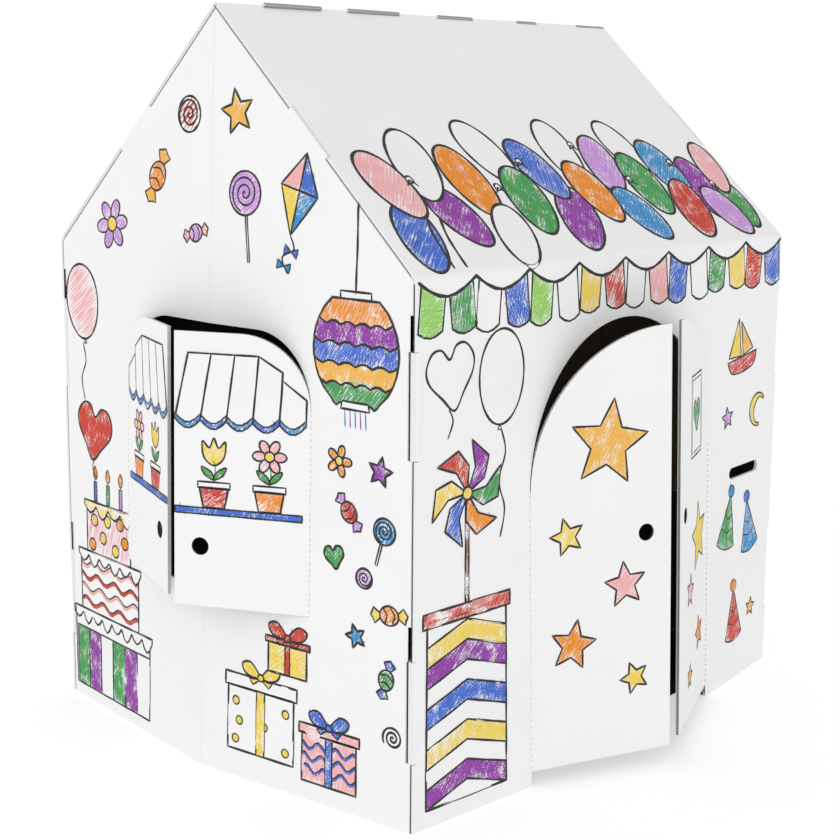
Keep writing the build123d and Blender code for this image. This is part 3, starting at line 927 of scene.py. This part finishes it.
def draw_front():
    d = Drawing("print_front_wall", "house", "front_panel", front_spot, 31, 1.55)
    draw_bunting(d)
    # left strip: a white balloon, a pinwheel and a striped box
    d.string([(-258, 470), (-250, 440), (-262, 405), (-252, 370), (-260, 335)], 1.7)
    balloon(d, -256, 532, 43, 58, None, -4)
    d.string([(-350, 505), (-343, 490), (-352, 470)], 1.6)
    heart(d, -346, 543, 82, None, 0, 8)
    cx, cy = -318, 400
    d.shape(rect(cx - 3, 262, cx + 3, cy), "brown", body=0.3, line=1.6)
    sail = [(0, 0), (14, 30), (8, 64), (38, 40), (30, 14)]
    for i, colour in enumerate(("purple", "red", "yellow", "blue", "orange", "green")):
        d.shape(moved(sail, cx, cy, 60 * i), colour, body=0.6 if i % 2 == 0 else 0.3, line=1.8)
    d.shape(oval(cx, cy, 8, 8, count=20), "yellow", line=1.7)
    x0, x1, y0, y1 = -384, -250, 22, 254
    d.shape(rect(x0, y0, x1, y1), line=2.2)
    bands = ("purple", None, "yellow", None, "blue", None, "purple", "yellow")
    height = (y1 - y0 - 30) / len(bands)
    for i, colour in enumerate(bands):
        low = y0 + height * i
        foot = [(x0, low), ((x0 + x1) / 2, low + 22), (x1, low)]
        if colour:
            band = foot + moved(foot, 0, height)[::-1]
            d.shape(band, colour, body=0.3 if colour == "yellow" else 0.6, line=1.8)
        else:
            d.lines(foot, 1.7)
    d.shape(rect(x0 - 7, y1 - 6, x1 + 7, y1 + 12), "red", body=0.3)
    # right strip: a boat, a moon and a star, three party cones and a star
    d.ink = 1.2
    hull = smooth([(-42, 4), (-28, -16), (28, -16), (42, 4)], closed=False)
    d.shape(moved(hull, 302, 486, 8), "red", body=0.3)
    d.shape(moved([(-3, 6), (-3, 62), (-38, 10)], 302, 486, 8), "yellow")
    d.shape(moved([(3, 6), (3, 56), (32, 10)], 302, 486, 8), "gold", body=0.3)
    moon = oval(0, 0, 25, 25, count=26, start=60, end=300)
    bite = oval(0, 0, 25, 25, count=22, start=66, end=294)
    moon += [(x * 0.62 + 4, y * 0.80) for x, y in reversed(bite)]
    d.shape(moved(moon, 354, 404, -20), "yellow")
    d.shape(star(262, 404, 17, 8), "lilac")
    cone = [(-27, 0), (-14, -5), (0, -7), (14, -5), (27, 0), (0, 76)]
    for px, py, turn, colour, trim in (
        (262, 214, -12, "green", "cyan"),
        (342, 196, 10, "cyan", "blue"),
        (296, 66, 3, "red", "orange"),
    ):
        d.shape(moved(cone, px, py, turn), colour, body=0.3, line=1.8)
        for t in (0.28, 0.55):
            w = 27 * (1 - t)
            ring = [(-w, 76 * t + 4), (0, 76 * t - 4), (w, 76 * t + 6)]
            d.lines(moved(ring, px, py, turn), 1.5)
        d.shape(moved(oval(0, 80, 9, 9, count=18), px, py, turn), trim, line=1.5)
    d.shape(star(352, 98, 15, -8), "gold")
    d.build()


def draw_doors():
    name = "door_leaf_left"
    d = Drawing("print_door_left", name, name, leaf_spot(name), 32)
    d.shape(star(112, 432, 58, -8), "gold", angle=62)
    stars(d, (
        (52, 318, 25, 14, "yellow"), (136, 246, 31, 6, "pink"), (60, 176, 34, -12, "orange"),
        (150, 120, 22, 20, "yellow"),
    ), 0.3)
    d.build()
    name = "door_leaf_right"
    d = Drawing("print_door_right", name, name, leaf_spot(name), 33)
    d.shape(rect(-128, 380, -56, 492))
    d.lines(rect(-122, 386, -62, 486), 1.4, closed=True)
    heart(d, -92, 436, 46, "green", 0.3)
    stars(d, (
        (-70, 260, 50, 6, "yellow"), (-128, 196, 24, -10, "pink"), (-62, 118, 26, 10, "orange"),
        (-126, 74, 18, -10, "gold"),
    ))
    d.build()


def draw_roof():
    """A crowd of balloons, laid in a mixed order, and small knots with two loose ends between."""
    d = Drawing("print_roof", "house", "front_panel", roof_spot, 41, 2.2)
    d.string([(-300, 118), (-326, 70), (-334, 8)], 1.8)
    d.string([(-286, 110), (-306, 60), (-312, 8)], 1.8)
    row = [
        (-338, 196, 31, 50, "pink", 18), (-352, 96, 30, 48, "blue", -10),
        (-272, 232, 33, 54, None, -14), (-262, 130, 30, 48, "purple", 24),
        (-196, 196, 32, 54, "orange", 6), (-184, 84, 29, 46, None, -20),
        (-122, 252, 32, 52, None, 16), (-108, 150, 33, 52, "green", -8),
        (-44, 212, 30, 50, "blue", 20), (-34, 106, 33, 52, "purple", -26),
        (34, 250, 31, 52, None, -6), (38, 158, 32, 50, "orange", 12),
        (106, 216, 31, 50, "lilac", -16), (108, 104, 30, 46, "cyan", 26),
        (170, 168, 33, 52, "green", 4), (182, 252, 30, 48, None, 14),
        (236, 106, 32, 50, "red", -18), (246, 200, 33, 50, "cyan", 10),
        (302, 150, 33, 54, "purple", -6), (318, 94, 30, 44, "lilac", 22),
        (362, 110, 27, 44, "green", 2), (366, 196, 27, 46, "pink", -12),
    ]
    random.Random(5).shuffle(row)
    for cx, cy, rx, ry, colour, turn in row:
        cy, rx, ry = 28 + (cy - 58) * 0.84, rx * 1.16, ry * 1.16
        solid = colour in ("purple", "red", "green", "orange")
        balloon(d, cx, cy, rx, ry, colour, turn, body=0.6 if solid else 0.3, knot=False)
    knots = ((-300, 150), (-150, 130), (-70, 172), (70, 200), (140, 130), (272, 158), (338, 112))
    for x, y in knots:
        knot = [(x - 5, y - 5), (x + 5, y - 4), (x + 4, y + 5), (x - 4, y + 4)]
        d.shape(smooth(knot), line=1.3)
        d.lines([(x, y), (x + 9, y - 12)], 1.3)
        d.lines([(x, y), (x - 10, y - 10)], 1.3)
    d.build()


# ---------- cut edges, creases and perforations ----------

def cut_edge(d, path, plane, outward=1, closed=False, depth=None, dark="shade"):
    """Marks the board's cut edge: the space between the liners, painted dark as shade, and the
    fluted layer in it.

    plane is two ways along the board, a point on its outer face and its normal. path is in
    millimetres along the two ways from the point, and outward is +1 when the free side lies to
    the right of the path's direction. depth is from the outer face; where it is given, the
    fluted layer is left out."""
    e1, e2, base, normal = plane
    low, high = depth or (0.5, 4.0)
    path = resample(path, 8.0 if depth else 0.9, closed)
    count = len(path)
    sides = []
    for i, (x, y) in enumerate(path):
        dx, dy = direction(path, i, closed)
        sides.append((base + e1 * (x / 1000) + e2 * (y / 1000), (e1 * dy - e2 * dx) * outward))

    def strip(levels, lift, coat):
        points, faces = [], []
        for (point, out), pair in zip(sides, levels):
            for level in pair:
                points.append(point - normal * (level / 1000) + out * (lift / 1000))
        for i in range(count if closed else count - 1):
            a, b = 2 * i, 2 * ((i + 1) % count)
            faces.append((a, b, b + 1, a + 1))
        d.raw(points, faces, coat)

    # the dark strip is painted shade in the space between the liners
    strip([(low, high)] * count, 0.06, dark)
    if not depth:
        middle, swing, half = (low + high) / 2, (high - low) / 2 - 0.2, 0.32
        levels = [middle + swing * sin(2 * pi * x / (FLUTE * 1000)) for x, _ in path]
        strip([(level - half, level + half) for level in levels], 0.11, "flute")


def hinge_bead(d, hinge, up, start, end, cut):
    """The creased liner at a leaf's hinge, cut through at every perforation, each cut painted as
    shade.
    """
    sides = 8
    side = up.orthogonal().normalized()
    other = up.cross(side)
    z, solid = start, True
    while z < end:
        top = min(z + (5.2 if solid else 2.4), end)
        radius = 0.00075 if solid else 0.0005
        points = []
        for level in (z, top):
            for k in range(sides):
                a = 2 * pi * k / sides
                out = (side * cos(a) + other * sin(a)) * radius
                points.append(hinge + up * (level / 1000) + out)
        faces = [(k, (k + 1) % sides, sides + (k + 1) % sides, sides + k) for k in range(sides)]
        faces += [tuple(reversed(range(sides))), tuple(range(sides, 2 * sides))]
        # the cuts between the beads take the cut paint: painted shade
        d.raw(points, faces, "paper" if solid else cut)
        z, solid = top, not solid


def closed_cut_shade(d, path, plane, reach=0.85, depth=2.2):
    """A near-black strip that keeps the light out of a cut that is still closed: painted shade in
    the gap.
    """
    e1, e2, base, normal = plane
    points, faces = [], []
    for i, (x, y) in enumerate(path):
        dx, dy = direction(path, i)
        point = base + e1 * (x / 1000) + e2 * (y / 1000) - normal * (depth / 1000)
        points += [point, point + (e1 * dy - e2 * dx) * (reach / 1000)]
    for i in range(len(path) - 1):
        faces.append((2 * i, 2 * i + 1, 2 * i + 3, 2 * i + 2))
    d.raw(points, faces, "hollow")


def draw_sheet_edges(name, facing):
    """The free edges of a wall sheet, marked with painted shade: its corners, its slope, its ridge
    fingers and its door.
    """
    hooks, tabs = ((0, 86), (213, 451), (578, 655)), ((8, 192.4), (277.4, SLOPE * 1000))
    notches = ((76, 178), (226, 328), (406.5, 485), (587, 635), (737, 813))
    edge = (HALF_W - SETBACK) * 1000
    width, slope = WIDTH * 1000, SLOPE * 1000
    d = Drawing("edges_" + name + "_sheet", "house", name + "_panel", front_spot, 50)
    along, out = Vector((facing, 0, 0)), Vector((0, -facing, 0))
    base = Vector((0, -DEPTH if facing > 0 else 0, 0))
    wall = (along, Vector((0, 0, 1)), base, out)
    rise, roof_out = Vector((0, facing * COS, SIN)), Vector((0, -facing * SIN, COS))
    roof = (along, rise, base + Vector((0, 0, EAVE)), roof_out)
    # the cut edges are strips of painted shade: near black at the front seams, dark grey at the
    # rear
    if facing > 0:
        dark = "hollow"
        cuts = [(wall, span, (2.7, 4.4)) for span in hooks]
        cuts += [(roof, span, (3.4, 4.4)) for span in tabs]
    else:
        dark = "shade"
        cuts = [(roof, span, depth) for span in tabs for depth in ((0.2, 0.8), (3.6, 4.3))]
    for side in (-1, 1):
        for plane, span, depth in cuts:
            path = [(side * edge, y) for y in span]
            cut_edge(d, path, plane, side, depth=depth, dark=dark)
    # the rear fingers stand a little over the front slope, more along the ridge
    over, last = (0 if facing > 0 else 5.5), 0.0
    for start, end in notches + ((width, width),):
        if start - last > 5:
            ends = (-width / 2 + last + (0.4 if last else 0.8), -width / 2 + start - 0.4)
            path = [(v, slope + over * (v + width / 2 - 0.8) / (width - 1.6)) for v in ends]
            cut_edge(d, path, roof, -1)
        last = end
    if facing > 0:
        door = [(205, 4)] + oval(0, 374, 205, 205, count=60, start=0, end=180) + [(-205, 4)]
        lean = Vector((0, FRONT_BOW, EAVE)).normalized()
        cut_edge(d, door, (along, lean, Vector((0, -DEPTH - FRONT_BOW, 0)), out), -1)
        # painted shade in the gables' slots behind the hooks
        y = -DEPTH + HOOK_BACK - 0.0001
        for side in (-1, 1):
            for low, high in ((0.0865, 0.2545), (0.4515, 0.6195)):
                hollow = rect(side * (HALF_W - 0.0044), low, side * (HALF_W - 0.0017), high)
                d.raw([Vector((x, y, z)) for x, z in hollow], [(0, 1, 2, 3)], "hollow")
    d.build()


def draw_leaf_edges(name):
    """A leaf's free edge and its finger hole, both painted as shade, and the creased liner it
    hangs on.
    """
    hinge, up, away, normal = LEAVES[name]
    plane = (away, up, hinge, normal)
    d = Drawing("edges_" + name, name, name, leaf_spot(name), 60)
    if name.startswith("door"):
        arch = oval(205, 374, 204, 204, count=30, start=90, end=180)
        path = [(0.35, 19), (204, 19), (204, 577.9)] + [p for p in arch if p[0] < 203.9]
        hinge_bead(d, hinge, up, 19, 380, "hollow" if name.endswith("right") else "dent")
        hole = (167, 311)
    else:
        corner = oval(91.35, 253, 91, 91, count=20, start=90, end=180)
        path = [(0.35, 1), (176, 1), (176, 344)] + corner
        hinge_bead(d, hinge, up, 1, 254, "dent")
        hole = (142, 311 - SILL * 1000)
    # closed shutters: near-black painted shade in the cut edge and in its gap
    if name.startswith("right"):
        cut_edge(d, path, plane, depth=(0.2, 4.5), dark="hollow")
        closed_cut_shade(d, path, plane)
    else:
        cut_edge(d, path, plane, dark="dent" if name == "left_shutter_rear" else "shade")
    # the finger hole's wall: painted shade
    ring = oval(*hole, 11.25, 11.25, count=40)
    cut_edge(d, ring, plane, -1, closed=True, depth=(0.5, 4.3), dark="hollow")
    d.build()


def draw_gable_creases(name, side):
    """A gable's centre crease, with a line of painted shade along it, and the liner pressed in at
    the open end of each hook's slot.
    """

    def spot(x, z):
        point, normal = gable_spot(x, z)
        return Vector((side * point.x, point.y, point.z)), Vector((side * normal.x, 0, normal.z))

    d = Drawing("crease_" + name, "house", name, spot, 70)
    # the crease line is painted shade at the fold
    for low, high in ((3, 233), (580, 960)):
        d.ribbon([(0, low), (0, high)], 1.0, "crease", 0.05, step=14)
    for end in (-1, 1):
        back, front = end * (HALF_D - HOOK_BACK), end * (HALF_D - 0.0091)
        for low, high in ((0.2125, 0.2543), (0.5775, 0.6193)):
            points = []
            for x, z in rect(back, low, front, high):
                point, normal = spot(x, z)
                points.append(point - normal.normalized() * (0.0001 if x == back else 0.0011))
            d.raw(points, [(0, 1, 2, 3)], "paper")
    d.build()


make_camera()
make_floor()
make_light()
dress_boards()
draw_gable()
draw_shutters()
draw_front()
draw_doors()
draw_roof()
for sheet, facing in (("front", 1), ("rear", -1)):
    draw_sheet_edges(sheet, facing)
for leaf in LEAVES:
    draw_leaf_edges(leaf)
for gable, side in (("gable_left", 1), ("gable_right", -1)):
    draw_gable_creases(gable, side)
